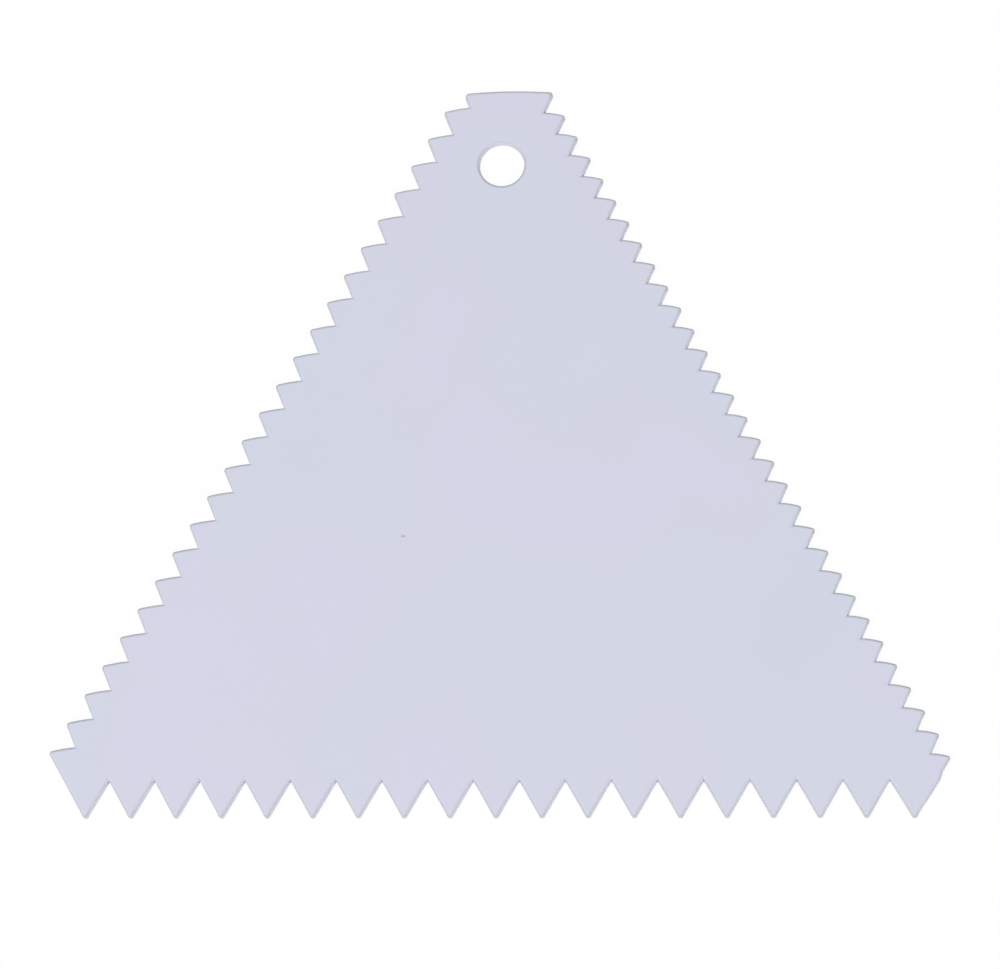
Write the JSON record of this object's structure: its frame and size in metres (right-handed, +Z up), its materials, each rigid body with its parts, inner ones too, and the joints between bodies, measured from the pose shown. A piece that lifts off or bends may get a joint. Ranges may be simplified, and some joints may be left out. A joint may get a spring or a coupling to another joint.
{
  "type": "icing smoother",
  "caption": "Flat triangular icing smoother with coarse, medium and fine toothed sides, a blunt top end and a hanging hole.",
  "frame": {"origin": "centre, on the resting back face, of the equilateral triangle through the tips of the teeth", "axes": "+X along the coarse row, from the medium row's side to the fine row's side; +Y from the coarse row towards the hanging hole; +Z up, out of the front face"},
  "size_m": [0.1179, 0.0998, 0.0012],
  "materials": {
    "comb_plastic": "satin"
  },
  "bodies": {
    "root": {"comb_plate": "comb_plastic"}
  },
  "joints": []
}
